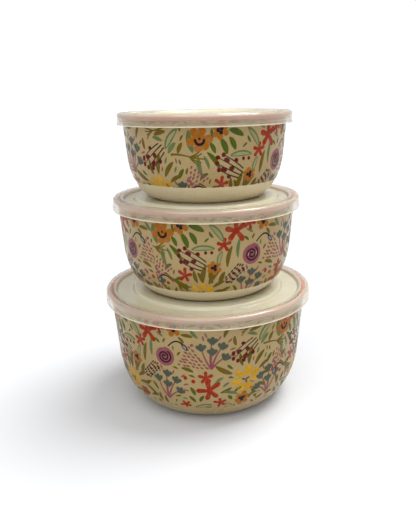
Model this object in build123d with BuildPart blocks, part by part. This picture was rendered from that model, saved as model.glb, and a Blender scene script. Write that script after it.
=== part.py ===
from build123d import *

import os
from dataclasses import dataclass
from math import atan2, degrees, sqrt

# A stack of three nesting food bowls, pressed from enamelled sheet steel, each closed by a press-on
# polyethylene lid. Every piece is a turned shape about the Z axis. The largest bowl stands on z = 0
# and each smaller bowl stands in the round recess of the lid below it.
# All sizes are in millimetres.


# ------------------------------------------------------------------ sizes of each bowl

@dataclass
class BowlSize:
    """The sizes that change from one bowl of the set to the next."""

    name: str
    rim_radius: float  # outside of the rolled rim
    height: float  # foot to the top of the rolled rim
    base_radius: float  # outside of the flat foot
    corner_height: float  # half height of the ellipse that rounds the corner


large = BowlSize("large", rim_radius=90.8, height=104.5, base_radius=51.0, corner_height=53.5)
medium = BowlSize("medium", rim_radius=79.9, height=83.0, base_radius=45.0, corner_height=47.0)
small = BowlSize("small", rim_radius=72.1, height=71.5, base_radius=41.0, corner_height=43.0)
bowls_from_the_bottom = [large, medium, small]

# ------------------------------------------------------------------ sizes that all bowls share

sheet = 1.2  # enamelled steel sheet
draft = 0.09  # the wall leans out by this much for each millimetre of height
rim_bead = 3.6  # diameter of the rolled rim
rim_overhang = 1.5  # how far the rolled rim stands out past the wall
foot_width = 6.0  # flat ring that the bowl stands on
foot_lift = 0.8  # the floor inside that ring is pressed up

# ------------------------------------------------------------------ sizes that all lids share

lid_wall = 1.6
skirt_height = 10.0  # lower edge to the flat top of the flange
skirt_flare = 0.5  # the skirt is this much wider at its lower edge
skirt_gap = 1.6  # rolled rim to the inside of the skirt
snap_clearance = 0.3  # rolled rim to the ridge inside the skirt
snap_height = 2.2  # middle of that ridge above the lower edge
seat_gap = 0.2  # top of the rolled rim to the underside of the flange
plug_clearance = 1.2  # rolled rim to the step that reaches down into the bowl
groove_depth = 3.0  # groove between the flange and the stacking ring
recess_depth = 2.0  # the bowl above stands this far below the top of the flange
recess_clearance = 0.6  # stacking ring to the rounded corner of the bowl above
ring_width = 13.0  # stacking ring, from the recess to the groove
ring_share = 0.65  # but at most this share of the way from the recess to the flange
slope_width = 1.4  # each step of the lid leans over this width
top_recess_radius = 45.5  # recess of the smallest lid, for the next smaller bowl of the range

flange_round = 3.0
ring_round = 2.2
step_round = 1.0


# ------------------------------------------------------------------ shape of a bowl's wall

def neck_radius(size):
    """Outside of the wall where it runs into the rolled rim."""
    return size.rim_radius - rim_overhang


def neck_height(size):
    """Height of the middle of the rolled rim, where the wall ends inside it."""
    return size.height - rim_bead / 2


def corner_width(size):
    """Half width of the ellipse that rounds the corner and meets the leaning wall at a tangent."""
    reach = neck_radius(size) - draft * (neck_height(size) - size.corner_height) - size.base_radius
    return sqrt(reach**2 - (draft * size.corner_height) ** 2)


def radius_at_rise(size, rise):
    """Outside radius of the rounded corner, a small rise above the foot."""
    down = 1 - rise / size.corner_height
    return size.base_radius + corner_width(size) * sqrt(1 - down**2)


def corner_arc(size, inset):
    """Elliptical corner, drawn from the foot up to where its slope equals the wall's draft."""
    width = corner_width(size) - inset
    tall = size.corner_height - inset
    return EllipticalCenterArc(
        (size.base_radius, size.corner_height),
        width,
        tall,
        start_angle=270,
        arc_size=90 - degrees(atan2(draft * tall, width)),
    )


# ------------------------------------------------------------------ places in the stack

def turning_plane(z):
    """Upright plane through the axis, in which a piece's half section is drawn from height z up."""
    return Plane(origin=(0, 0, z), x_dir=(1, 0, 0), z_dir=(0, -1, 0))


def flange_top(size):
    """Top of the lid's flange above the foot of its bowl."""
    return size.height + seat_gap + lid_wall


def next_foot(size):
    """Where the bowl above stands, above the foot of this one."""
    return flange_top(size) - recess_depth


# ------------------------------------------------------------------ the pieces

def make_bowl(size, foot_z):
    """Pressed bowl: raised floor, flat foot ring, rounded corner, leaning wall, rolled rim."""
    foot_inside = size.base_radius - foot_width
    wall_top = neck_height(size)
    with BuildPart() as bowl:
        with BuildSketch(turning_plane(foot_z)):
            with BuildLine():
                Polyline(
                    (0, foot_lift),
                    (foot_inside - foot_lift, foot_lift),
                    (foot_inside, 0),
                    (size.base_radius, 0),
                )
                outer_corner = corner_arc(size, 0)
                inner_corner = corner_arc(size, sheet)
                Polyline(
                    outer_corner @ 1,
                    (neck_radius(size), wall_top),
                    (neck_radius(size) - sheet, wall_top),
                    inner_corner @ 1,
                )
                Polyline(
                    inner_corner @ 0,
                    (foot_inside, sheet),
                    (foot_inside - foot_lift, foot_lift + sheet),
                    (0, foot_lift + sheet),
                    (0, foot_lift),
                )
            make_face()
            with Locations((size.rim_radius - rim_bead / 2, wall_top)):
                Circle(rim_bead / 2)
        revolve(axis=Axis.Z)
    bowl.part.label = "bowl_" + size.name
    return bowl.part


def make_lid(size, foot_z, recess_radius):
    """Moulded lid of even thickness: recess, stacking ring, groove, flange, skirt with snap ridge."""
    skirt_inside = size.rim_radius + skirt_gap
    lid_radius = skirt_inside + lid_wall
    plug_radius = size.rim_radius - rim_bead - plug_clearance
    groove_outside = plug_radius - lid_wall
    ring_outside = recess_radius + min(ring_width, ring_share * (groove_outside - recess_radius))
    recess_z = skirt_height - recess_depth
    groove_z = skirt_height - groove_depth
    top_face = [
        (recess_radius - slope_width, recess_z, step_round),
        (recess_radius, skirt_height, ring_round),
        (ring_outside, skirt_height, ring_round),
        (ring_outside + slope_width, groove_z, step_round),
        (groove_outside - slope_width, groove_z, step_round),
        (groove_outside, skirt_height, step_round),
        (lid_radius - skirt_flare, skirt_height, flange_round),
    ]
    beyond = 2 * skirt_height
    with BuildPart() as lid:
        with BuildSketch(turning_plane(foot_z + flange_top(size) - skirt_height)):
            with BuildLine():
                FilletPolyline(
                    (-beyond, recess_z),
                    *[(r, z) for r, z, _ in top_face],
                    (lid_radius, 0),
                    radius=[rounding for _, _, rounding in top_face],
                )
                Polyline((lid_radius, 0), (lid_radius, -beyond), (-beyond, -beyond), (-beyond, recess_z))
            make_face()
            offset(amount=-lid_wall, mode=Mode.SUBTRACT)
            with Locations((skirt_inside, snap_height)):
                Circle(skirt_gap - snap_clearance)
            with Locations((0, 0)):
                Rectangle(lid_radius, skirt_height, align=(Align.MIN, Align.MIN), mode=Mode.INTERSECT)
        revolve(axis=Axis.Z)
    lid.part.label = "lid_" + size.name
    return lid.part


# ------------------------------------------------------------------ the stack

def write_piece(piece):
    """One STEP file for each piece, named after it."""
    export_step(piece, "parts/" + piece.label + ".step")
    box = piece.bounding_box()
    print(piece.label, "z from", round(box.min.Z, 2), "to", round(box.max.Z, 2))


os.makedirs("parts", exist_ok=True)
foot_z = 0.0
for size, above in zip(bowls_from_the_bottom, bowls_from_the_bottom[1:] + [None]):
    if above:
        recess_radius = radius_at_rise(above, recess_depth + recess_clearance)
    else:
        recess_radius = top_recess_radius
    write_piece(make_bowl(size, foot_z))
    write_piece(make_lid(size, foot_z, recess_radius))
    foot_z += next_foot(size)
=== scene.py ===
import math
import random

import bmesh
import bpy
from bpy.props import FloatProperty, FloatVectorProperty, PointerProperty
from mathutils import Matrix, Vector


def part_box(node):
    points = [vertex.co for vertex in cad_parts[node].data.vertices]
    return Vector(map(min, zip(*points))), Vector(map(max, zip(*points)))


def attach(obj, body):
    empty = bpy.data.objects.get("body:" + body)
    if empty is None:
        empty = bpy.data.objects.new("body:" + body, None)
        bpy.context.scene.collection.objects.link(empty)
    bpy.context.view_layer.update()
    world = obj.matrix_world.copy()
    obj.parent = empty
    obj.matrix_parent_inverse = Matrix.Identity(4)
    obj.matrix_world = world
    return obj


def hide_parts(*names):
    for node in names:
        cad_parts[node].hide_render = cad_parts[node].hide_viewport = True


bl_info = {
    "name": "Enamel Bowl Set",
    "version": (1, 0, 0),
    "blender": (4, 5, 0),
    "location": "3D View > Sidebar > Bowl Set",
    "description": "A stack of enamelled bowls with a painted flower print and milky press-on lids",
    "category": "Object",
}

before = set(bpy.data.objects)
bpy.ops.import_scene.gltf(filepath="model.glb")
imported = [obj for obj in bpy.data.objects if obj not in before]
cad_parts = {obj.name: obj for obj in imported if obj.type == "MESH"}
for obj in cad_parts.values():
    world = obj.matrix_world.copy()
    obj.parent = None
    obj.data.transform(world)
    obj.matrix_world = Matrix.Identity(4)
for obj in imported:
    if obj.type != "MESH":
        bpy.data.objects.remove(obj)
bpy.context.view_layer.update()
BOWLS = ("large", "medium", "small")
MM = 0.001


# ------------------------------------------------------------------ sizes and colours


def length(name, default, description):
    """A size that a user may change, with its default in millimetres."""
    return FloatProperty(
        name=name, default=default * MM, description=description, unit="LENGTH", precision=5
    )


def tint(name, default, description):
    """A colour that a user may change."""
    return FloatVectorProperty(
        name=name, default=default, description=description, subtype="COLOR", size=3, min=0, max=1
    )


class BowlSetSizes(bpy.types.PropertyGroup):
    """Sizes of the bowls and lids"""

    large_base: length("Large base", 51.0, "Outside of the large bowl's flat foot")
    medium_base: length("Medium base", 45.0, "Outside of the medium bowl's flat foot")
    small_base: length("Small base", 41.0, "Outside of the small bowl's flat foot")
    large_corner: length("Large corner", 53.5, "Height of the large bowl's rounded corner")
    medium_corner: length("Medium corner", 47.0, "Height of the medium bowl's rounded corner")
    small_corner: length("Small corner", 43.0, "Height of the small bowl's rounded corner")
    sheet: length("Sheet", 1.2, "Thickness of the enamelled steel")
    draft: FloatProperty(name="Draft", default=0.09, description="How far the wall leans out, per height")
    rim_bead: length("Rim bead", 3.6, "Diameter of the rolled rim")
    rim_overhang: length("Rim overhang", 1.5, "How far the rolled rim stands out past the wall")
    foot_width: length("Foot width", 6.0, "Flat ring that a bowl stands on")
    foot_lift: length("Foot lift", 0.8, "How far the floor inside that ring is pressed up")
    lid_wall: length("Lid wall", 1.6, "Thickness of the lids")
    skirt_gap: length("Skirt gap", 1.6, "Rolled rim to the inside of the skirt")
    skirt_flare: length("Skirt flare", 0.5, "How much wider the skirt is at its lower edge")
    snap_clearance: length("Snap clearance", 0.3, "Rolled rim to the ridge inside the skirt")
    snap_height: length("Snap height", 2.2, "Middle of the ridge above the skirt's lower edge")
    plug_clearance: length("Plug clearance", 1.2, "Rolled rim to the step inside it")
    groove_depth: length("Groove depth", 3.0, "Groove between the flange and the stacking ring")
    recess_depth: length("Recess depth", 2.0, "How deep the bowl above stands in a lid")
    recess_clearance: length("Recess clearance", 0.6, "Stacking ring to the bowl above")
    top_recess: length("Top recess", 45.5, "Radius of the recess in the smallest lid")
    ring_width: length("Ring width", 13.0, "Stacking ring, from the recess to the groove")
    slope_width: length("Slope width", 1.4, "How much each step of a lid leans")
    print_lift: length("Print lift", 0.07, "Paint surface above the enamel")
    print_thickness: length("Print thickness", 0.05, "Thickness of one layer of paint")


class BowlSetColours(bpy.types.PropertyGroup):
    """Colours of the enamel, the rim, the lids and the paints"""

    enamel: tint("Enamel", (0.58, 0.5, 0.325), "Pale cream enamel inside the bowls and under them")
    enamel_deep: tint("Enamel, deep", (0.53, 0.445, 0.275), "The same enamel where it lies thicker")
    ground: tint("Print ground", (0.345, 0.25, 0.108), "Buff ground that the flowers are printed on")
    ground_deep: tint("Print ground, deep", (0.31, 0.218, 0.088), "The same ground where it lies thicker")
    speck: tint("Speck", (0.18, 0.12, 0.05), "Pin specks fired into the enamel")
    rim: tint("Rim", (0.6, 0.095, 0.125), "Pink enamel on the rolled rim")
    rim_deep: tint("Rim, deep", (0.51, 0.072, 0.098), "Pink enamel where it lies thicker")
    # the cream in the lid colours is partly painted light: the glow of the cream bowl beneath, laid into
    # the milky plastic's own colour
    lid: tint("Lid", (0.93, 0.868, 0.685), "Milky plastic")
    lid_haze: tint("Lid haze", (0.9, 0.825, 0.62), "Cloudier streaks in the plastic")
    # lid_edge is painted shade: a darker tone laid on the skirt, corner and shoulder of each lid; the
    # plastic there is no thicker
    lid_edge: tint("Lid edge", (0.54, 0.465, 0.35), "Thicker plastic of the skirt and the corner")
    floor: tint("Floor", (0.61, 0.618, 0.634), "Studio floor")
    coral: tint("Coral", (0.26, 0.021, 0.002), "Star flowers")
    amber: tint("Amber", (0.3, 0.098, 0.003), "Round blossoms")
    yellow: tint("Yellow", (0.46, 0.25, 0.004), "Yellow blossoms")
    olive: tint("Olive", (0.115, 0.075, 0.003), "Olive leaves and twigs")
    sage: tint("Sage", (0.1, 0.135, 0.045), "Grey-green leaves")
    sage_pale: tint("Sage, pale", (0.27, 0.25, 0.11), "Middle of outlined leaves")
    green: tint("Green", (0.062, 0.088, 0.004), "Bright leaves")
    mauve: tint("Mauve", (0.21, 0.058, 0.07), "Spiral flowers and stems")
    plum: tint("Plum", (0.035, 0.006, 0.013), "Dark line of the spiral flowers")
    berry: tint("Berry", (0.1, 0.006, 0.006), "Berries")
    rose: tint("Rose", (0.21, 0.052, 0.055), "Seeds and dashes")
    slate: tint("Slate", (0.062, 0.072, 0.05), "Bud heads")
    dusk: tint("Dusk", (0.22, 0.2, 0.24), "Middle of the drooping buds")
    ink: tint("Ink", (0.012, 0.006, 0.008), "Fine dark stems and centres")


def sizes():
    return bpy.context.scene.bowl_set_sizes


def colour(name):
    return tuple(getattr(bpy.context.scene.bowl_set_colours, name))


# ------------------------------------------------------------------ measures shared by the pieces


class Bowl:
    """One bowl of the set, with its place in the stack read from the frame."""

    def __init__(self, which):
        s = sizes()
        low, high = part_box("bowl_" + which)
        lid_low, lid_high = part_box("lid_" + which)
        self.which = which
        self.foot = low.z
        self.rim_radius = high.x
        self.height = high.z - low.z
        self.base = getattr(s, which + "_base")
        self.corner = getattr(s, which + "_corner")
        self.neck_radius = self.rim_radius - s.rim_overhang
        self.neck_height = self.height - s.rim_bead / 2
        reach = self.neck_radius - s.draft * (self.neck_height - self.corner) - self.base
        self.corner_width = math.sqrt(reach**2 - (s.draft * self.corner) ** 2)
        self.lid_edge = lid_low.z
        self.lid_top = lid_high.z
        self.lid_radius = lid_high.x

    def corner_angle(self, inset):
        """Turn of the rounded corner, from the foot to where it runs into the leaning wall."""
        tall = self.corner - inset
        return math.pi / 2 - math.atan2(sizes().draft * tall, self.corner_width - inset)

    def bead_meets_wall(self, inset):
        """Angle below the horizontal, at the middle of the rolled rim, where the leaning wall runs in."""
        bead = sizes().rim_bead / 2
        drop = bead
        for _ in range(6):
            across = self.neck_radius - inset - sizes().draft * drop - (self.rim_radius - bead)
            drop = math.sqrt(bead**2 - across**2)
        return math.atan2(drop, across)

    def radius_at_rise(self, rise):
        down = 1 - rise / self.corner
        return self.base + self.corner_width * math.sqrt(1 - down**2)

    def wall_places(self):
        """Places down the outside of the wall, from rim to foot: depth along it, radius, height."""
        steps = 240
        turn = self.corner_angle(0)
        places = [(0.0, self.neck_radius, self.neck_height)]
        for k in range(steps + 1):
            angle = -math.pi / 2 + turn * (1 - k / steps)
            depth, r0, z0 = places[-1]
            r1 = self.base + self.corner_width * math.cos(angle)
            z1 = self.corner + self.corner * math.sin(angle)
            places.append((depth + math.hypot(r1 - r0, z1 - z0), r1, z1))
        return places

    def height_at_depth(self, depth):
        """Height of the lowest of those places that is no deeper than this."""
        return [place[2] for place in self.wall_places() if place[0] <= depth][-1]


# ------------------------------------------------------------------ modelling helpers


class Outline:
    """A chain of vertices in the upright plane through the axis, ready to be spun."""

    def __init__(self, bm, foot):
        self.bm = bm
        self.foot = foot
        self.chain = []

    def point(self, radius, height):
        self.link([self.bm.verts.new((radius, 0, self.foot + height))])
        return self.chain[-1]

    def arc(self, radius, height, half_width, half_height, start, turn, steps):
        """An elliptical arc about (radius, height), turned from a single vertex."""
        before = set(self.bm.verts)
        first = self.bm.verts.new((math.cos(start), 0, math.sin(start)))
        bmesh.ops.spin(
            self.bm,
            geom=[first],
            cent=(0, 0, 0),
            axis=(0, -1, 0),
            angle=turn,
            steps=steps,
            use_duplicate=False,
        )
        made = [v for v in self.bm.verts if v not in before]
        bmesh.ops.scale(self.bm, vec=(half_width, 1, half_height), verts=made)
        bmesh.ops.translate(self.bm, vec=(radius, 0, self.foot + height), verts=made)
        ordered = [first]
        while len(ordered) < len(made):
            ends = [edge.other_vert(ordered[-1]) for edge in ordered[-1].link_edges]
            ordered.append(next(vert for vert in ends if vert not in ordered[-2:]))
        self.link(ordered)

    def link(self, verts):
        if self.chain:
            self.bm.edges.new((self.chain[-1], verts[0]))
        self.chain += verts

    def round_corner(self, vert, radius, segments=6):
        """Rounds one corner of the chain with the given radius."""
        a, b = (e.other_vert(vert).co - vert.co for e in vert.link_edges)
        reach = radius * math.tan((math.pi - a.angle(b)) / 2)
        bmesh.ops.bevel(
            self.bm,
            geom=[vert],
            offset=reach,
            offset_type="OFFSET",
            affect="VERTICES",
            segments=segments,
            profile=0.5,
            material=-1,
            clamp_overlap=True,
        )


def spin_outline(bm, steps):
    """Turns everything in the mesh once about the Z axis and closes the seam and the poles."""
    bmesh.ops.spin(
        bm,
        geom=bm.verts[:] + bm.edges[:],
        cent=(0, 0, 0),
        axis=(0, 0, 1),
        angle=math.tau,
        steps=steps,
        use_merge=True,
        use_duplicate=False,
    )
    bmesh.ops.remove_doubles(bm, verts=bm.verts[:], dist=0.01 * MM)
    bmesh.ops.recalc_face_normals(bm, faces=bm.faces[:])


def finish_piece(bm, name, body, materials, nodes=()):
    """Makes the mesh an object that rides on its body and, where asked, stands for CAD nodes."""
    mesh = bpy.data.meshes.new(name)
    bm.to_mesh(mesh)
    bm.free()
    for material in materials:
        mesh.materials.append(material)
    mesh.shade_smooth()
    mesh.set_sharp_from_angle(angle=math.radians(50))
    piece = bpy.data.objects.new(name, mesh)
    bpy.context.scene.collection.objects.link(piece)
    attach(piece, body)
    if nodes:
        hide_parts(*nodes)
    return piece


# ------------------------------------------------------------------ node helpers


def add_node(tree, kind, values=None, **settings):
    """A new node with its settings and the values of its inputs."""
    made = tree.nodes.new(kind)
    for key, value in settings.items():
        setattr(made, key, value)
    for key, value in (values or {}).items():
        made.inputs[key].default_value = value
    return made


def wire(tree, source, target):
    """Feeds an input from another node's output, from a number or from the three numbers of a colour."""
    if isinstance(source, bpy.types.NodeSocket):
        tree.links.new(source, target)
    elif isinstance(source, tuple):
        target.default_value = (*source, 1)
    else:
        target.default_value = source


def new_group(name, inputs, outputs):
    """A shader node group; inputs are (name, default), outputs are names, and all hold one number."""
    tree = bpy.data.node_groups.new(name, "ShaderNodeTree")
    tree.interface.new_socket("Vector", in_out="INPUT", socket_type="NodeSocketVector")
    for label, default in inputs:
        socket = tree.interface.new_socket(label, in_out="INPUT", socket_type="NodeSocketFloat")
        socket.default_value = default
    for label in outputs:
        tree.interface.new_socket(label, in_out="OUTPUT", socket_type="NodeSocketFloat")
    return tree, tree.nodes.new("NodeGroupInput").outputs, tree.nodes.new("NodeGroupOutput").inputs


def noise(tree, vector, scale, detail=3.0, roughness=0.55, distortion=0.0):
    """Cloudy noise."""
    values = {"Detail": detail, "Roughness": roughness, "Distortion": distortion}
    made = add_node(tree, "ShaderNodeTexNoise", values)
    wire(tree, vector, made.inputs["Vector"])
    wire(tree, scale, made.inputs["Scale"])
    return made.outputs["Fac"]


def cells(tree, vector, scale, randomness=1.0):
    """Scattered cells, each with a distance from its middle and a colour of its own."""
    made = add_node(tree, "ShaderNodeTexVoronoi", {"Randomness": randomness})
    wire(tree, vector, made.inputs["Vector"])
    wire(tree, scale, made.inputs["Scale"])
    return made.outputs


def stretch(tree, vector, scale, turn=(0.0, 0.0, 0.0)):
    """Coordinates that draw a pattern out into streaks."""
    made = add_node(tree, "ShaderNodeMapping", {"Scale": scale, "Rotation": turn})
    wire(tree, vector, made.inputs["Vector"])
    return made.outputs["Vector"]


def attribute(tree, name):
    """What the mesh carries under this name."""
    return add_node(tree, "ShaderNodeAttribute", attribute_name=name).outputs


def remap(tree, value, low, high, to_low=0.0, to_high=1.0):
    """Moves values between low and high to between to_low and to_high, and stops there."""
    values = {"From Min": low, "From Max": high, "To Min": to_low, "To Max": to_high}
    made = add_node(tree, "ShaderNodeMapRange", values)
    wire(tree, value, made.inputs["Value"])
    return made.outputs["Result"]


def calculate(tree, operation, a, b):
    """One step of arithmetic on two numbers or sockets."""
    made = add_node(tree, "ShaderNodeMath", operation=operation)
    wire(tree, a, made.inputs[0])
    wire(tree, b, made.inputs[1])
    return made.outputs[0]


def blend_colours(tree, factor, a, b):
    """Mixes two colours; each is three numbers or a socket."""
    made = add_node(tree, "ShaderNodeMix", data_type="RGBA")
    wire(tree, factor, made.inputs["Factor"])
    wire(tree, a, made.inputs[6])
    wire(tree, b, made.inputs[7])
    return made.outputs[2]


def glaze_group():
    """Fired enamel: slow mottling, pin specks and the fine orange-peel height of the surface."""
    tree, source, sink = new_group(
        "Fired Glaze",
        [("Mottle Scale", 24.0), ("Peel Scale", 420.0), ("Speck Scale", 260.0)],
        ["Mottle", "Specks", "Peel"],
    )
    place = source["Vector"]
    slow = noise(tree, place, source["Mottle Scale"], 4.0, 0.6)
    wire(tree, remap(tree, slow, 0.35, 0.68), sink["Mottle"])
    pins = cells(tree, place, source["Speck Scale"])
    dot = remap(tree, pins["Distance"], 0.10, 0.16, 1.0, 0.0)
    pick = add_node(tree, "ShaderNodeSeparateColor")
    wire(tree, pins["Color"], pick.inputs["Color"])
    chosen = calculate(tree, "GREATER_THAN", pick.outputs["Red"], 0.955)
    wire(tree, calculate(tree, "MULTIPLY", dot, chosen), sink["Specks"])
    wire(tree, noise(tree, place, source["Peel Scale"], 2.0, 0.5), sink["Peel"])
    return tree


def wear_group():
    """Handling wear: faint smudges and short hairline scuffs, both from 0 to 1."""
    tree, source, sink = new_group(
        "Handling Wear", [("Smudge Scale", 30.0), ("Scuff Scale", 90.0)], ["Smudge", "Scuff"]
    )
    place = source["Vector"]
    smudge = noise(tree, place, source["Smudge Scale"], 6.0, 0.7, 0.6)
    wire(tree, remap(tree, smudge, 0.42, 0.75), sink["Smudge"])
    hairlines = stretch(tree, place, (1.0, 14.0, 14.0), (0.4, 0.7, 0.3))
    scuff = noise(tree, hairlines, source["Scuff Scale"], 3.0, 0.6)
    wire(tree, remap(tree, scuff, 0.62, 0.85), sink["Scuff"])
    return tree


def use_group(tree, name, build, vector, **values):
    """Places a group, which is built once and shared by the materials, with its own values."""
    made = add_node(tree, "ShaderNodeGroup", node_tree=bpy.data.node_groups.get(name) or build())
    for key, value in values.items():
        made.inputs[key.replace("_", " ")].default_value = value
    wire(tree, vector, made.inputs["Vector"])
    return made.outputs


def new_material(name, **plain):
    """A material with one Principled shader whose even values are set on its own sockets."""
    found = bpy.data.materials.get(name)
    if found:
        bpy.data.materials.remove(found)
    material = bpy.data.materials.new(name)
    material.use_nodes = True
    tree = material.node_tree
    shader = tree.nodes["Principled BSDF"].inputs
    for key, value in plain.items():
        shader[key.replace("_", " ")].default_value = value
    place = add_node(tree, "ShaderNodeTexCoord").outputs["Object"]
    return material, tree, shader, place


def bump(tree, shader, height, strength, distance):
    made = add_node(tree, "ShaderNodeBump", {"Strength": strength, "Distance": distance})
    wire(tree, height, made.inputs["Height"])
    wire(tree, made.outputs["Normal"], shader["Normal"])


def wear_roughness(tree, shader, wear, clean, smudged, scuffed=0.0):
    """Roughness that goes from clean to smudged, with scuffed added along the scuffs."""
    rough = remap(tree, wear["Smudge"], 0.0, 1.0, clean, smudged)
    if scuffed:
        rough = calculate(tree, "ADD", rough, calculate(tree, "MULTIPLY", wear["Scuff"], scuffed))
    wire(tree, rough, shader["Roughness"])


def enamel_material(name, tone, speck_strength, screen=0.0):
    """Glossy fired enamel with mottling, pin specks, fine orange peel and, where printed, a dot screen."""
    material, tree, shader, place = new_material(
        name, Specular_IOR_Level=0.25, Coat_Weight=0.08, Coat_Roughness=0.10
    )
    glaze = use_group(tree, "Fired Glaze", glaze_group, place)
    wear = use_group(tree, "Handling Wear", wear_group, place)
    deep = colour(tone + "_deep")
    body = blend_colours(tree, glaze["Mottle"], colour(tone), deep)
    if screen:
        dots = cells(tree, place, 1000.0, randomness=0.35)
        mask = remap(tree, dots["Distance"], 0.25, 0.45, screen, 0.0)
        body = blend_colours(tree, mask, body, tuple(c * 0.62 for c in deep))
    specks = calculate(tree, "MULTIPLY", glaze["Specks"], speck_strength)
    wire(tree, blend_colours(tree, specks, body, colour("speck")), shader["Base Color"])
    wear_roughness(tree, shader, wear, 0.22, 0.32, 0.05)
    bump(tree, shader, glaze["Peel"], 0.10, 0.08 * MM)
    return material


def lid_material():
    """Milky plastic: cloudy, thinner where the veil is low, with a darker tone painted on its skirt and
    corner as shade, where it is also denser edge-on.
    """
    material, tree, shader, place = new_material(
        "Milky Plastic",
        Specular_IOR_Level=0.9,
        Coat_Weight=0.6,
        Coat_IOR=1.6,
        Coat_Roughness=0.10,
        Subsurface_Weight=1.0,
        Subsurface_Radius=(1.0, 0.9, 0.75),
        Subsurface_Scale=1.6 * MM,
    )
    wear = use_group(tree, "Handling Wear", wear_group, place, Smudge_Scale=22.0, Scuff_Scale=70.0)
    cloud = remap(tree, noise(tree, place, 35.0, 4.0), 0.35, 0.70)
    # milky plastic whose cream tint is partly painted light from the bowl beneath
    milk_and_bowl_glow = blend_colours(tree, cloud, colour("lid"), colour("lid_haze"))
    # painted shade: the skirt, corner and shoulder take a darker tone by this per-vertex value
    thick = attribute(tree, "thick")["Fac"]
    wire(tree, blend_colours(tree, thick, milk_and_bowl_glow, colour("lid_edge")), shader["Base Color"])
    wear_roughness(tree, shader, wear, 0.14, 0.26, 0.08)
    veil = attribute(tree, "veil")["Fac"]
    edge_on = add_node(tree, "ShaderNodeLayerWeight", {"Blend": 0.5}).outputs["Facing"]
    steep = calculate(tree, "POWER", edge_on, 3.0)
    dense = calculate(tree, "MULTIPLY", steep, remap(tree, thick, 0.0, 1.0, 0.22, 0.95))
    milky = calculate(tree, "ADD", veil, remap(tree, cloud, 0.0, 1.0, -0.02, 0.04))
    let_through = calculate(
        tree, "MULTIPLY", calculate(tree, "SUBTRACT", 1.0, milky), calculate(tree, "SUBTRACT", 1.0, dense)
    )
    wire(tree, calculate(tree, "SUBTRACT", 1.0, let_through), shader["Alpha"])
    bump(tree, shader, noise(tree, place, 900.0, 2.0), 0.12, 0.06 * MM)
    return material


def paint_material():
    """Brushed ceramic paint whose colour is carried by the strokes themselves."""
    material, tree, shader, place = new_material("Ceramic Paint", Specular_IOR_Level=0.1)
    bristles = stretch(tree, attribute(tree, "brush")["Vector"], (220.0, 2600.0, 900.0))
    streak = remap(tree, noise(tree, bristles, 1.0, 3.0, 0.6), 0.30, 0.72)
    pool = remap(tree, noise(tree, place, 260.0, 2.0), 0.35, 0.70)
    shade = add_node(tree, "ShaderNodeHueSaturation")
    wire(tree, attribute(tree, "ink")["Color"], shade.inputs["Color"])
    wire(tree, remap(tree, streak, 0.0, 1.0, 0.78, 1.16), shade.inputs["Value"])
    wire(tree, remap(tree, pool, 0.0, 1.0, 1.06, 0.88), shade.inputs["Saturation"])
    wire(tree, shade.outputs["Color"], shader["Base Color"])
    wear = use_group(tree, "Handling Wear", wear_group, place)
    wear_roughness(tree, shader, wear, 0.28, 0.42)
    bump(tree, shader, streak, 0.25, 0.03 * MM)
    return material


# ------------------------------------------------------------------ the painted print

# lengths here are millimetres
TILE_WIDTH = 188.0  # the pattern comes back after this far
TILE_DEPTH = 90.0  # and is filled with small leaves down to here
PRINT_TOP = 0.6  # the print starts this far below the rolled rim
PRINT_EDGE = {"large": 86.0, "medium": 68.5, "small": 54.0}  # and stops this far down the wall
GROUND_EDGE = {"large": 130.0, "medium": 68.5, "small": 54.0}  # its buff ground stops here, or at the foot; the large bowl is buff all the way down, so its base is darker than the other two
PRINT_TURN = {"large": -54.0, "medium": 24.0, "small": 57.0}  # where the large star flower stands
PRINT_SEAM = {"large": -280.0, "medium": -48.0, "small": -222.0}  # where the two ends of the print meet
GAP_CELL = 1.1  # grid on which bare ground is looked for
GAP_CLEAR = 1.7  # bare ground that a small leaf needs about it


def aside(x, y, angle, along, across=0.0):
    """The place that is this far along and across a direction in degrees from (x, y)."""
    a = math.radians(angle)
    return (
        x + math.cos(a) * along - math.sin(a) * across,
        y + math.sin(a) * along + math.cos(a) * across,
    )


def line(x, y, reach, angle, bend=0.0):
    """A gently bent path from (x, y) at an angle in degrees."""
    a = math.radians(angle)
    along, across = Vector((math.cos(a), math.sin(a))), Vector((-math.sin(a), math.cos(a)))
    start = Vector((x, y))
    return lambda t: start + along * (reach * t) + across * (reach * bend * 4 * t * (1 - t))


def spiral(x, y, start, sweep, inner, outer):
    """A path round (x, y) through sweep radians, from the inner to the outer radius."""
    middle = Vector((x, y))
    return lambda t: middle + (
        Vector((math.cos(start + sweep * t), math.sin(start + sweep * t))) * (inner + (outer - inner) * t)
    )


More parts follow.
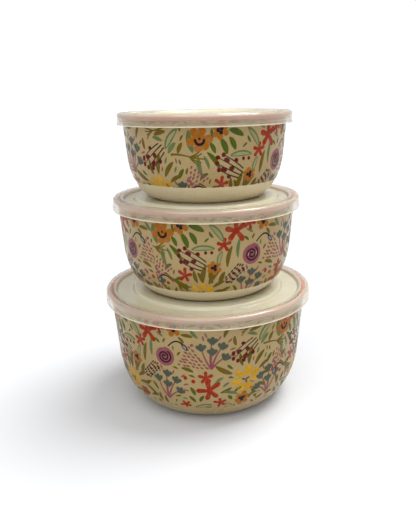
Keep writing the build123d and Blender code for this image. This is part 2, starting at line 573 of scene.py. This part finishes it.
class Painter:
    """Draws flat strokes on a sheet in millimetres: X runs round the bowl, Y falls from the rim."""

    def __init__(self):
        self.bm = bmesh.new()
        self.ink = self.bm.verts.layers.float_color.new("ink")
        self.brush = self.bm.verts.layers.float_vector.new("brush")
        self.level = self.bm.verts.layers.float.new("level")
        self.random = random.Random(7)
        self.taken = set()
        self.marked = 0

    def dye(self, verts, ink, level):
        """Gives a stroke its colour, a shade lighter or darker each time, and its layer."""
        shift = self.random.uniform(-0.06, 0.06)
        rgb = [c * (1 + shift) for c in colour(ink)]
        for vert in verts:
            vert[self.ink] = (*rgb, 1)
            vert[self.level] = level

    def stroke(self, path, half_width, ink, level=0, pieces=7):
        """A painted stroke along path(t), half_width(t) to each side, from t = 0 to 1."""
        made = bmesh.ops.create_grid(self.bm, x_segments=pieces, y_segments=1, size=0.5)["verts"]
        seed = self.random.uniform(0, 40)
        for vert in made:
            t, side = vert.co.x + 0.5, vert.co.y * 2
            here = path(t)
            ahead = path(min(1.0, t + 0.01)) - path(max(0.0, t - 0.01))
            across = Vector((-ahead.y, ahead.x)).normalized() * half_width(t) * side
            # along and across the stroke, from a place of its own, for the marks of the bristles
            vert[self.brush] = (t * 0.01 + seed, side * 0.002, seed)
            vert.co = (here.x + across.x, here.y + across.y, 0)
        self.dye(made, ink, level)

    def dot(self, x, y, radius, ink, level=0):
        """A small round blob, a little out of round."""
        disc = bmesh.ops.create_circle(self.bm, cap_ends=True, cap_tris=True, segments=10, radius=radius)
        made = disc["verts"]
        squeeze = self.random.uniform(0.88, 1.12)
        for vert in made:
            vert[self.brush] = (vert.co.x * MM, vert.co.y * MM, self.random.uniform(0, 0.002))
            vert.co = (x + vert.co.x * squeeze, y + vert.co.y / squeeze, 0)
        self.dye(made, ink, level)

    def leaf(self, x, y, reach, width, angle, ink, level=0):
        """A leaf whose middle is at (x, y)."""
        def belly(t):
            return width / 2 * max(0.0, math.sin(math.pi * (0.03 + 0.94 * t))) ** 0.65

        stem = aside(x, y, angle, -reach / 2)
        self.stroke(line(*stem, reach, angle, bend=0.06), belly, ink, level, pieces=9)

    def leaves(self, ink, *rows):
        """Leaves of one colour; each row is x, y, reach, width, angle."""
        for row in rows:
            self.leaf(*row, ink)

    def open_leaf(self, x, y, reach, width, angle):
        """A leaf drawn as an outline round a paler middle."""
        self.leaf(x, y, reach, width, angle, "sage")
        self.leaf(x, y, reach * 0.80, width * 0.52, angle, "sage_pale", level=1)

    def petal(self, x, y, reach, width, angle, ink, level=0):
        """A petal with a narrow foot at (x, y) and a round end."""
        def belly(t):
            end = math.sqrt(max(0.0, 1 - max(0.0, (t - 0.72) / 0.29) ** 2))
            return width / 2 * (0.55 + 0.45 * t) * end

        path = line(x, y, reach, angle, self.random.uniform(-0.03, 0.03))
        self.stroke(path, belly, ink, level, pieces=8)

    def dash(self, x, y, reach, width, angle, ink):
        """A short mark with blunt ends."""
        def belly(t):
            return width / 2 * math.sin(math.pi * (0.12 + 0.76 * t))

        self.stroke(line(x, y, reach, angle), belly, ink, pieces=3)

    def twig(self, x, y, reach, angle, ink, bend=0.05, width=0.9):
        """A thin stem that narrows to its end."""
        self.stroke(line(x, y, reach, angle, bend), lambda t: width / 2 * (1 - 0.45 * t), ink)

    # ---- motifs

    def star(self, x, y, radius, angle):
        """A coral flower of five blunt petals."""
        for k in range(5):
            turn = angle + 72 * k + self.random.uniform(-9, 9)
            reach = radius * self.random.uniform(0.88, 1.14)
            self.petal(x, y, reach, radius * 0.40 + 0.9, turn, "coral", level=k * 0.2)

    def blossom(self, x, y, radius, angle, centre):
        """A round amber flower with an eye or with three dots in it."""
        for k in range(6):
            turn = angle + 60 * k + self.random.uniform(-7, 7)
            reach = radius * self.random.uniform(0.88, 1.06)
            self.petal(x, y, reach, radius * 0.72, turn, "amber", level=k * 0.2)
        if centre == "eye":
            eye = spiral(x, y, 2.9, 3.6, radius * 0.34, radius * 0.34)
            self.stroke(eye, lambda t: radius * 0.10, "ink", 1.4, pieces=12)
            self.dot(x, y + radius * 0.10, radius * 0.10, "plum", 1.4)
        else:
            for turn in (20, 140, 260):
                self.dot(*aside(x, y, angle + turn, radius * 0.24), radius * 0.22, "ink", 1.4)

    def rose_spiral(self, x, y, radius):
        """A mauve disc with a mauve rim and a dark spiral line."""
        rim = spiral(x, y, 0.6, 1.15 * math.tau, radius * 0.80, radius * 0.94)
        coil = spiral(x, y, 0.4, 2.1 * math.tau, radius * 0.10, radius * 0.74)
        self.dot(x, y, radius * 0.86, "mauve")
        self.stroke(rim, lambda t: radius * 0.14, "mauve", 0.4, pieces=26)
        self.stroke(coil, lambda t: radius * 0.085, "plum", 1.2, pieces=34)

    def berries(self, x, y, angle, reach):
        """Dark stems that run side by side from (x, y), with berries beside them."""
        for k, (side, share) in enumerate(((-1.5, 0.80), (-0.5, 1.0), (0.5, 0.94), (1.5, 0.72))):
            span = reach * share
            turn = angle + side * 3.5
            foot = aside(x, y, angle, abs(side) * 2, side * 2.8)
            self.twig(*foot, span, turn, "ink", bend=0.02 * side, width=1.0)
            self.dot(*aside(*foot, turn, span), 1.8, "berry", 0.6)
            for step, first in ((0.45, 0), (0.74, 1)):
                flip = 1 if (k + first) % 2 else -1
                place = aside(*foot, turn, span * step, flip * 1.9)
                self.dot(*place, self.random.uniform(1.5, 1.9), "berry", 0.6)

    def husk(self, x, y, angle, reach):
        """A pod of short dark dashes and berries, in rows that run along it."""
        for row in range(-2, 3):
            for step in range(5):
                along = reach * (step / 4 - 0.5) * (1 - 0.12 * abs(row))
                px, py = aside(x, y, angle, along, row * 1.9)
                if abs(row) < 2 and (row + step) % 3 == 0:
                    self.dot(px, py, 1.3, "berry", 0.4)
                else:
                    self.dash(px - 1, py - 0.6, 3.0, 1.4, angle, "ink")

    def seeds(self, x, y, angle, rows):
        """A fan of seed-like dashes that widens away from (x, y)."""
        for row in range(1, rows + 1):
            for k in range(row):
                across = (k - (row - 1) / 2) * 3.1 + self.random.uniform(-0.5, 0.5)
                along = row * 3.7 + self.random.uniform(-0.6, 0.6)
                place = aside(x, y, angle, along, across)
                self.dash(*place, self.random.uniform(2.6, 3.8), 1.7, angle + across * 1.5, "rose")

    def branch(self, x, y, reach, angle, fingers):
        """An olive twig that ends in fingers."""
        self.twig(x, y, reach, angle, "olive", width=1.7)
        fork = aside(x, y, angle, reach)
        for k in range(fingers):
            turn = angle - 34 + 68 * k / (fingers - 1) + self.random.uniform(-5, 5)
            span = reach * self.random.uniform(0.55, 0.8)
            self.twig(*fork, span, turn, "olive", bend=self.random.uniform(-0.08, 0.08), width=1.4)
            self.dot(*aside(*fork, turn, span), 0.6, "olive", 0.4)

    def buds(self, x, y, flip=1):
        """Mauve stems from (x, y) that carry slate bud heads, with loose dashes beside them."""
        for dx, dy, turn in ((-8, 19, 100), (1, 25, 84), (1, 15, 92), (9, 20, 66), (11, 10, 40)):
            stem = math.degrees(math.atan2(dy, dx * flip))
            self.twig(x, y, math.hypot(dx, dy), stem, "mauve", bend=0.05 * flip, width=1.9)
            lean = (turn - 90) * flip * 0.6
            for spread in (-38, 0, 38):
                self.petal(
                    x + dx * flip,
                    y + dy - 2.0,
                    6.8 - abs(spread) * 0.01,
                    3.7,
                    90 + spread + lean,
                    "slate",
                    level=0.5 + spread * 0.004,
                )
        loose = ((-6, 26, 100), (6, 26, 62), (14, 24, 40), (16, 17, 15), (16, 12, -10), (-3, 29, 115))
        for dx, dy, turn in loose:
            self.dash(x + dx * flip, y + dy, 4.8, 1.7, turn if flip > 0 else 180 - turn, "mauve")

    def drooping_bud(self, x, y, flip=1):
        """A dark arched stem that ends in a small pointed bud."""
        def bow(t):
            return Vector((x + flip * 13 * t, y + 5.6 * math.sin(math.pi * t * 0.78)))

        hang = -52 if flip > 0 else 232
        self.stroke(bow, lambda t: 0.5 + 0.2 * t, "ink", pieces=10)
        self.leaf(x + flip * 14.6, y + 0.6, 7.2, 3.6, hang, "ink", level=0.4)
        self.leaf(x + flip * 14.7, y + 0.5, 4.6, 1.9, hang, "dusk", level=1.3)

    def sun_flower(self, x, y, radius):
        """A yellow flower of loose blobs with olive leaves fanned beside it."""
        blobs = (
            (68, 1.0, 0.30),
            (128, 0.80, 0.42),
            (182, 0.95, 0.34),
            (238, 0.85, 0.40),
            (290, 0.95, 0.32),
            (350, 0.75, 0.45),
            (25, 0.80, 0.55),
        )
        for turn, size, far in blobs:
            foot = aside(x, y, turn, radius * far)
            self.petal(*foot, radius * 0.76 * size, radius * 0.70 * size, turn + 14, "yellow", level=0.2)
        for turn in (20, 160, 280):
            self.leaf(*aside(x, y, turn, 2), 3.8, 1.8, turn, "olive", level=1)
        fan = (
            (103, 12, 1.6),
            (80, 16, 1.8),
            (54, 15, 1.8),
            (30, 12, 1.7),
            (4, 12, 1.65),
            (-60, 14, 1.6),
            (150, 17, 1.85),
            (-28, 11, 1.6),
            (205, 11, 1.6),
        )
        for turn, span, far in fan:
            self.leaf(*aside(x, y, turn, radius * far), span, span * 0.2 + 1.0, turn, "olive")

    def tile(self):
        """The whole pattern, drawn once; places are across the tile and down from the rim."""
        self.star(0, -14, 10.5, 96)
        self.star(-10, -25, 6.4, 88)
        self.star(11, -8, 6.0, 70)
        self.open_leaf(-16, -15, 19, 5.0, -52)
        self.leaf(-8, -7, 7, 2.4, -28, "sage")
        self.open_leaf(-27, -28, 19, 4.6, 2)
        self.leaf(12, -15, 7, 2.2, -30, "sage")
        self.leaf(9, -21, 6, 2.2, -38, "green")
        self.leaf(3, -28, 17, 3.0, 84, "sage")
        self.leaf(-5, -35, 18, 3.6, 78, "olive")
        self.open_leaf(-13, -36, 12, 3.8, 72)
        self.rose_spiral(15, -35, 8.6)
        self.blossom(25, -8, 7.6, 15, "dots")
        self.leaves("olive", (36, -14, 10, 3.2, -8), (31, -18, 7, 2.6, -50))
        self.drooping_bud(19, -25)
        self.seeds(57, -46, 150, 7)
        self.dot(40, -22, 1.4, "rose")
        self.blossom(-18, -44, 6.6, 40, "dots")
        self.husk(0, -51, 46, 19)
        self.buds(15, -77)
        self.leaf(2, -66, 9, 2.6, -58, "green")
        self.leaf(-4, -74, 15, 3.2, -38, "olive")
        self.dot(33, -53, 1.9, "coral")
        self.dot(40, -56, 1.9, "coral")
        self.leaves("green", (39, -66, 9, 3.6, -64), (38, -75, 9, 3.2, -50), (47, -74, 8, 3.4, 62))
        self.star(51, -52, 6.6, 94)
        self.star(54, -65, 11.0, 34)
        self.star(31, -82, 5.6, 50)
        self.star(64, -79, 6.2, 100)
        self.open_leaf(48, -84, 17, 4.0, 14)
        self.open_leaf(72, -83, 9, 3.2, -24)
        self.leaf(73, -74, 6, 3.6, -50, "green")
        self.buds(56, -44)
        self.leaves("sage", (63, -55, 8, 2.6, 34), (69, -60, 7, 2.2, 34), (73, -69, 15, 3.0, -14))
        self.berries(97, -20, 220, 26)
        self.branch(98, -6, 11, 196, 4)
        self.sun_flower(87, -57, 12.5)
        self.leaf(80, -66, 8, 2.6, 34, "green")
        self.blossom(85, -77, 8.0, 20, "dots")
        self.open_leaf(100, -75, 9, 3.0, 8)
        self.leaf(94, -75, 8, 2.2, 60, "green")
        self.open_leaf(104, -15, 19, 5.4, 54)
        self.leaf(111, -22, 9, 3.4, 64, "olive")
        self.leaf(120, -17, 17, 5.0, 100, "sage")
        self.branch(103, -27, 16, -6, 5)
        self.leaf(111, -42, 9, 3.4, 60, "green")
        self.blossom(127, -16, 10.0, 10, "eye")
        self.blossom(143, -9, 7.0, 32, "dots")
        self.leaves(
            "green",
            (137, -11, 7, 2.4, 100),
            (156, -11, 13, 4.8, -22),
            (146, -21, 13, 4.8, -66),
            (153, -19, 11, 4.4, -62),
            (137, -22, 9, 3.6, -62),
            (138, -32, 17, 3.8, -52),
        )
        self.leaves("sage", (127, -36, 16, 3.8, 100), (132, -33, 11, 2.6, -68))
        self.berries(164, -44, 152, 26)
        self.dot(163, -31, 1.4, "berry")
        self.dot(168, -31, 1.4, "berry")
        self.drooping_bud(133, -58, flip=-1)
        self.branch(126, -50, 16, -44, 5)
        self.seeds(112, -60, 52, 6)
        self.star(145, -51, 6.6, 80)
        self.leaves("green", (138, -55, 8, 3.0, 36), (130, -44, 8, 3.2, 34), (145, -63, 8, 3.0, 92))
        self.dot(116, -54, 1.5, "coral")
        self.dot(122, -58, 1.6, "coral")
        self.dot(127, -60, 1.7, "coral")
        self.leaf(122, -65, 9, 2.6, -68, "green")
        self.sun_flower(158, -69, 11.0)
        self.leaves(
            "olive",
            (168, -51, 15, 4.4, 94),
            (158, -53, 11, 3.6, -66),
            (177, -54, 13, 4.2, 72),
            (181, -66, 10, 3.0, 30),
        )
        self.buds(112, -78, flip=-1)
        self.open_leaf(140, -76, 14, 3.6, -16)
        self.star(172, -79, 6.0, 60)
        self.leaf(186, -78, 10, 3.0, 20, "green")

    def mark(self):
        """Notes the grid cells that the strokes since the last time lie in."""
        self.bm.verts.ensure_lookup_table()
        for vert in self.bm.verts[self.marked:]:
            self.taken.add((int(vert.co.x % TILE_WIDTH / GAP_CELL), int(-vert.co.y / GAP_CELL)))
        self.marked = len(self.bm.verts)

    def bare(self, x, y):
        """Whether the ground about (x, y) is clear of strokes."""
        reach = int(GAP_CLEAR / GAP_CELL) + 1
        columns = int(TILE_WIDTH / GAP_CELL) + 1
        column, row = int(x % TILE_WIDTH / GAP_CELL), int(-y / GAP_CELL)
        return not any(
            ((column + i) % columns, row + j) in self.taken
            for i in range(-reach, reach + 1)
            for j in range(-reach, reach + 1)
            if math.hypot(i, j) * GAP_CELL <= GAP_CLEAR
        )

    def fill_gaps(self):
        """Sprinkles small leaves and dashes wherever the tile is still bare, the longer leaves first."""
        tries = 5000
        self.mark()
        for attempt in range(tries):
            long = attempt < tries / 2
            x, y = self.random.uniform(0, TILE_WIDTH), self.random.uniform(-TILE_DEPTH, -2)
            upright = self.random.random() < 0.7
            turn = self.random.uniform(40, 140) if upright else self.random.uniform(-30, 30)
            reach = self.random.uniform(8, 12) if long else self.random.uniform(4, 6.5)
            along = [aside(x, y, turn, reach * share) for share in (-0.5, -0.25, 0, 0.25, 0.5)]
            if not all(self.bare(*place) for place in along):
                continue
            inks = ("green", "olive", "olive", "sage", "green", "olive" if long else "rose")
            ink = self.random.choice(inks)
            if ink == "rose":
                self.dash(x, y, reach * 0.7, 1.5, turn, ink)
            else:
                self.leaf(x, y, reach, reach * self.random.uniform(0.26, 0.34) + 0.3, turn, ink)
            self.mark()

    def paint(self, bowl):
        """Draws the tile, repeats it round one bowl, wraps it on the wall and gives it thickness."""
        bm = self.bm
        around = math.tau * bowl.neck_radius / MM
        self.tile()
        self.fill_gaps()
        bmesh.ops.remove_doubles(bm, verts=bm.verts[:], dist=0.004)
        self.repeat(PRINT_TURN[bowl.which])
        seam = PRINT_SEAM[bowl.which]
        self.crop((seam + around, 0, 0), (1, 0, 0))
        self.crop((seam, 0, 0), (-1, 0, 0))
        self.crop((0, -PRINT_EDGE[bowl.which], 0), (0, -1, 0))
        self.crop((0, -PRINT_TOP, 0), (0, 1, 0))
        self.lay_flat(seam, around)
        self.wrap(bowl, around)
        for face in bm.faces:
            centre = face.calc_center_median()
            if face.normal.dot(Vector((centre.x, centre.y, 0))) < 0:
                face.normal_flip()
        bmesh.ops.solidify(bm, geom=bm.faces[:], thickness=sizes().print_thickness)
        return bm

    def repeat(self, turn):
        """Moves the tile to its place and copies it three times to each side."""
        bm = self.bm
        bmesh.ops.translate(bm, vec=(turn, 0, 0), verts=bm.verts[:])
        first = bm.verts[:] + bm.edges[:] + bm.faces[:]
        for shift in (-3, -2, -1, 1, 2, 3):
            copied = bmesh.ops.duplicate(bm, geom=first)["geom"]
            moved = [e for e in copied if isinstance(e, bmesh.types.BMVert)]
            bmesh.ops.translate(bm, vec=(TILE_WIDTH * shift, 0, 0), verts=moved)

    def crop(self, place, outwards):
        """Cuts the print along a straight line and drops what lies outside."""
        bm = self.bm
        bmesh.ops.bisect_plane(
            bm,
            geom=bm.verts[:] + bm.edges[:] + bm.faces[:],
            dist=0.0001,
            plane_co=place,
            plane_no=outwards,
            clear_outer=True,
        )

    def lay_flat(self, seam, around):
        """Gives the print its flat map, with each layer of paint in a band of its own."""
        bands, band_height = 3, 92.0
        flat = self.bm.loops.layers.uv.new("OFBake")
        for face in self.bm.faces:
            band = int(face.verts[0][self.level] + 0.35) + 1
            for loop in face.loops:
                u = (loop.vert.co.x - seam) / around
                v = (band_height * band + loop.vert.co.y) / (band_height * bands)
                loop[flat].uv = (u, v)

    def wrap(self, bowl, around):
        """Moves every vertex from the flat sheet to its place on the leaning wall and round corner."""
        s = sizes()
        places = bowl.wall_places()
        turn = math.tau / around
        for vert in self.bm.verts:
            depth = -vert.co.y * MM
            k = next((i for i, p in enumerate(places) if p[0] > depth), len(places) - 1)
            (d0, r0, z0), (d1, r1, z1) = places[k - 1], places[k]
            share = (depth - d0) / (d1 - d0)
            out = Vector((z0 - z1, r1 - r0)).normalized()
            lift = s.print_lift + vert[self.level] * s.print_thickness
            radius = r0 + (r1 - r0) * share + out.x * lift
            height = z0 + (z1 - z0) * share + out.y * lift
            angle = vert.co.x * turn
            vert.co = (radius * math.sin(angle), -radius * math.cos(angle), bowl.foot + height)


# ------------------------------------------------------------------ operators


CAMERA_PLACE = (0.8 * MM, -501.9 * MM, 273.1 * MM)
CAMERA_TILT = math.radians(16.26)  # how far it looks down
CAMERA_ROLL = math.radians(-1.058)
CAMERA_LENS = 39.085  # millimetres, on a sensor 36 wide


def add_sun(name, energy, spread, source):
    """Soft light from one direction, as from a patch of sky this many degrees wide."""
    light = bpy.data.lights.new(name, "SUN")
    light.energy = energy
    light.angle = math.radians(spread)
    lamp = bpy.data.objects.new(name, light)
    lamp.rotation_mode = "QUATERNION"
    lamp.rotation_quaternion = Vector(source).to_track_quat("Z", "Y")
    bpy.context.scene.collection.objects.link(lamp)


class BOWLSET_OT_stage(bpy.types.Operator):
    """Builds the floor, the light and the camera"""

    bl_idname = "bowlset.stage"
    bl_label = "Stage"

    def execute(self, context):
        self.add_floor(context.scene)
        self.add_world(context.scene)
        add_sun("key", 2.75, 33, (0.42, 0.17, 1.0))
        add_sun("fill", 1.65, 70, (-0.10, -0.8, 1.1))
        self.add_camera(context.scene)
        context.scene.view_settings.view_transform = "Standard"
        return {"FINISHED"}

    def add_floor(self, scene):
        bm = bmesh.new()
        bmesh.ops.create_grid(bm, x_segments=8, y_segments=8, size=30)
        mesh = bpy.data.meshes.new("floor")
        bm.to_mesh(mesh)
        bm.free()
        material, tree, shader, place = new_material("Studio Floor", Specular_IOR_Level=0.2)
        tone = remap(tree, noise(tree, place, 6.0), 0.3, 0.7)
        pale = colour("floor")
        wire(tree, blend_colours(tree, tone, pale, tuple(c * 0.985 for c in pale)), shader["Base Color"])
        wire(tree, remap(tree, tone, 0.0, 1.0, 0.75, 0.85), shader["Roughness"])
        mesh.materials.append(material)
        floor = bpy.data.objects.new("floor", mesh)
        scene.collection.objects.link(floor)

    def add_world(self, scene):
        """White all round, a little brighter behind the set than in its light."""
        world = bpy.data.worlds.new("Studio")
        scene.world = world
        world.use_nodes = True
        tree = world.node_tree
        tree.nodes.clear()
        seen = add_node(tree, "ShaderNodeBackground", {"Color": (1, 1, 1, 1), "Strength": 1.02})
        soft = add_node(tree, "ShaderNodeBackground", {"Color": (1, 1, 1, 1), "Strength": 0.60})
        choose = add_node(tree, "ShaderNodeMixShader")
        wire(tree, add_node(tree, "ShaderNodeLightPath").outputs["Is Camera Ray"], choose.inputs[0])
        wire(tree, soft.outputs[0], choose.inputs[1])
        wire(tree, seen.outputs[0], choose.inputs[2])
        wire(tree, choose.outputs[0], add_node(tree, "ShaderNodeOutputWorld").inputs["Surface"])

    def add_camera(self, scene):
        lens = bpy.data.cameras.new("camera")
        lens.lens = CAMERA_LENS
        lens.sensor_width = 36
        lens.clip_start = 0.01
        camera = bpy.data.objects.new("camera", lens)
        look = Vector((0, math.cos(CAMERA_TILT), -math.sin(CAMERA_TILT)))
        turn = look.to_track_quat("-Z", "Y").to_matrix().to_4x4() @ Matrix.Rotation(CAMERA_ROLL, 4, "Z")
        camera.matrix_basis = Matrix.Translation(CAMERA_PLACE) @ turn
        scene.collection.objects.link(camera)
        scene.camera = camera


CREAM, PINK, BUFF = range(3)  # a bowl's material slots


class BOWLSET_OT_bowls(bpy.types.Operator):
    """Builds the three enamelled bowls"""

    bl_idname = "bowlset.bowls"
    bl_label = "Bowls"

    def execute(self, context):
        materials = [None] * 3
        materials[CREAM] = enamel_material("Cream Enamel", "enamel", 0.75)
        materials[PINK] = enamel_material("Pink Rim Enamel", "rim", 0.35)
        materials[BUFF] = enamel_material("Print Ground", "ground", 0.75, screen=0.28)
        for which in BOWLS:
            self.build(Bowl(which), materials)
        return {"FINISHED"}

    def build(self, bowl, materials):
        """Spins one bowl: the foot, the outside up to the rolled rim, round it and down the inside."""
        s = sizes()
        bm = bmesh.new()
        outline = Outline(bm, bowl.foot)
        foot_inside = bowl.base - s.foot_width
        outline.point(0, s.foot_lift)
        step_up = outline.point(foot_inside - s.foot_lift, s.foot_lift)
        step_down = outline.point(foot_inside, 0)
        turn = bowl.corner_angle(0)
        outline.arc(bowl.base, bowl.corner, bowl.corner_width, bowl.corner, -math.pi / 2, turn, 36)
        bead = s.rim_bead / 2
        bead_centre = bowl.rim_radius - bead
        outer = bowl.bead_meets_wall(0)
        inner = bowl.bead_meets_wall(s.sheet)
        outline.arc(bead_centre, bowl.neck_height, bead, bead, -outer, math.tau - inner + outer, 30)
        turn = bowl.corner_angle(s.sheet)
        width, height = bowl.corner_width - s.sheet, bowl.corner - s.sheet
        outline.arc(bowl.base, bowl.corner, width, height, -math.pi / 2 + turn, -turn, 36)
        inside_low = outline.point(foot_inside, s.sheet)
        inside_step = outline.point(foot_inside - s.foot_lift, s.foot_lift + s.sheet)
        outline.point(0, s.foot_lift + s.sheet)
        for corner in (step_up, step_down, inside_low, inside_step):
            outline.round_corner(corner, 0.8 * MM, segments=3)
        ground = bowl.foot + bowl.height_at_depth(GROUND_EDGE[bowl.which] * MM)
        edge = {"dist": 0.0001 * MM, "plane_co": (0, 0, ground), "plane_no": (0, 0, 1)}
        bmesh.ops.bisect_plane(bm, geom=bm.verts[:] + bm.edges[:], **edge)
        spin_outline(bm, 256)
        for face in bm.faces:
            centre = face.calc_center_median()
            radius = math.hypot(centre.x, centre.y)
            from_bead = math.hypot(radius - bead_centre, centre.z - bowl.foot - bowl.neck_height)
            outwards = face.normal.x * centre.x + face.normal.y * centre.y > 0
            if bead * 0.9 < from_bead < bead * 1.02:
                face.material_index = PINK
            elif outwards and centre.z > ground and radius > bowl.base:
                face.material_index = BUFF
        name = "bowl_" + bowl.which
        finish_piece(bm, "enamel_" + name, name, materials, [name])


# how milky each part of a lid is, and how far it takes the darker tone painted on it as shade, which also
# makes it denser edge-on, both from 0 to 1
LID_PARTS = {
    "top": (0.48, 0.0),
    "contact": (0.10, 0.0),
    "shoulder": (0.52, 0.6),
    "corner": (0.52, 1.0),
    "lip": (0.80, 0.2),
    "skirt": (0.18, 0.85),
}


class BOWLSET_OT_lids(bpy.types.Operator):
    """Builds the three milky press-on lids"""

    bl_idname = "bowlset.lids"
    bl_label = "Lids"

    def execute(self, context):
        s = sizes()
        plastic = lid_material()
        bowls = [Bowl(which) for which in BOWLS]
        for bowl, above in zip(bowls, bowls[1:] + [None]):
            recess = above.radius_at_rise(s.recess_depth + s.recess_clearance) if above else s.top_recess
            self.build(bowl, recess, plastic)
        return {"FINISHED"}

    def build(self, bowl, recess, plastic):
        """Spins one lid from the middle of its recess to the lower edge of its skirt."""
        s = sizes()
        bm = bmesh.new()
        outline = Outline(bm, bowl.lid_edge)
        tall = bowl.lid_top - bowl.lid_edge
        groove_outside = bowl.rim_radius - s.rim_bead - s.plug_clearance - s.lid_wall
        ring_outside = recess + s.ring_width
        groove = tall - s.groove_depth
        touch = bowl.rim_radius - s.rim_bead * 0.84
        outline.point(0, tall - s.recess_depth)
        corners = []
        # the flange is cut into rings about its line of contact, so that its haze can change there
        for radius, height, rounding in (
            (recess - s.slope_width, tall - s.recess_depth, 1.0),
            (recess, tall, 2.2),
            (ring_outside, tall, 2.2),
            (ring_outside + s.slope_width, groove, 1.0),
            (groove_outside - s.slope_width, groove, 1.0),
            (groove_outside, tall, 1.9),
            (touch - 1.3 * MM, tall, 0),
            (touch - 0.8 * MM, tall, 0),
            (touch + 0.8 * MM, tall, 0),
            (touch + 2.2 * MM, tall, 0),
            (touch + 2.8 * MM, tall, 0),
            (bowl.lid_radius - s.skirt_flare, tall, 3.0),
        ):
            made = outline.point(radius, height)
            if rounding:
                corners.append((made, rounding))
        lean = s.skirt_flare / tall
        # down the skirt in millimetres, with a shallow line near its lower edge
        for height, inset in ((4.2, 0.0), (3.3, 0.0), (2.2, 0.0), (1.5, 0.12), (1.2, 0.0), (0.0, 0.0)):
            outline.point(bowl.lid_radius - lean * height * MM - inset * MM, height * MM)
        for corner, rounding in corners:
            outline.round_corner(corner, rounding * MM)
        spin_outline(bm, 256)
        bmesh.ops.solidify(bm, geom=bm.faces[:], thickness=s.lid_wall)
        self.push_ridge(bm, bowl)
        self.cloud(bm, bowl, groove_outside, touch)
        name = "lid_" + bowl.which
        finish_piece(bm, "plastic_" + name, name, [plastic], [name])

    def push_ridge(self, bm, bowl):
        """Draws the ridge out of the skirt's inner face, in under the rolled rim."""
        s = sizes()
        inside = bowl.rim_radius + s.skirt_gap
        ridge = [
            v for v in bm.verts
            if abs(v.co.z - bowl.lid_edge - s.snap_height) < 0.25 * MM
            and inside - 1.0 * MM < math.hypot(v.co.x, v.co.y) < inside + 0.3 * MM
        ]
        push = (bowl.rim_radius + s.snap_clearance) / inside
        bmesh.ops.scale(bm, vec=(push, push, 1), verts=ridge)

    def cloud(self, bm, bowl, groove_outside, touch):
        """Marks each vertex with the milkiness of its part of the lid and how far that part takes the
        painted shade, a darker tone.
        """
        veil = bm.verts.layers.float.new("veil")
        thick = bm.verts.layers.float.new("thick")
        for vert in bm.verts:
            radius = math.hypot(vert.co.x, vert.co.y)
            if radius < groove_outside:
                part = "top"
            elif vert.co.z > bowl.lid_top - 2.2 * MM and -1.0 * MM < radius - touch < 2.4 * MM:
                part = "contact"
            elif vert.co.z > bowl.lid_top - 3.0 * MM:
                part = "shoulder" if radius < bowl.rim_radius + 0.5 * MM else "corner"
            elif vert.co.z < bowl.lid_edge + 0.6 * MM:
                part = "lip"
            else:
                part = "skirt"
            vert[veil], vert[thick] = LID_PARTS[part]


class BOWLSET_OT_print(bpy.types.Operator):
    """Paints the flower print round the three bowls"""

    bl_idname = "bowlset.print"
    bl_label = "Print"

    def execute(self, context):
        paint = paint_material()
        for which in BOWLS:
            mesh = Painter().paint(Bowl(which))
            finish_piece(mesh, "print_" + which, "bowl_" + which, [paint])
        return {"FINISHED"}


class BOWLSET_PT_panel(bpy.types.Panel):
    """Lists the pieces of the bowl set and their sizes and colours"""

    bl_idname = "BOWLSET_PT_panel"
    bl_label = "Bowl Set"
    bl_space_type = "VIEW_3D"
    bl_region_type = "UI"
    bl_category = "Bowl Set"

    def draw(self, context):
        for operator in OPERATORS:
            self.layout.operator(operator.bl_idname)
        for group in (context.scene.bowl_set_sizes, context.scene.bowl_set_colours):
            for name in group.__annotations__:
                self.layout.prop(group, name)


OPERATORS = (BOWLSET_OT_stage, BOWLSET_OT_bowls, BOWLSET_OT_lids, BOWLSET_OT_print)
CLASSES = (BowlSetSizes, BowlSetColours, *OPERATORS, BOWLSET_PT_panel)


def register():
    for cls in CLASSES:
        bpy.utils.register_class(cls)
    bpy.types.Scene.bowl_set_sizes = PointerProperty(type=BowlSetSizes)
    bpy.types.Scene.bowl_set_colours = PointerProperty(type=BowlSetColours)


def unregister():
    del bpy.types.Scene.bowl_set_colours
    del bpy.types.Scene.bowl_set_sizes
    for cls in reversed(CLASSES):
        bpy.utils.unregister_class(cls)


def main():
    register()
    bpy.ops.bowlset.stage()
    bpy.ops.bowlset.bowls()
    bpy.ops.bowlset.lids()
    bpy.ops.bowlset.print()


if __name__ == "__main__":
    main()
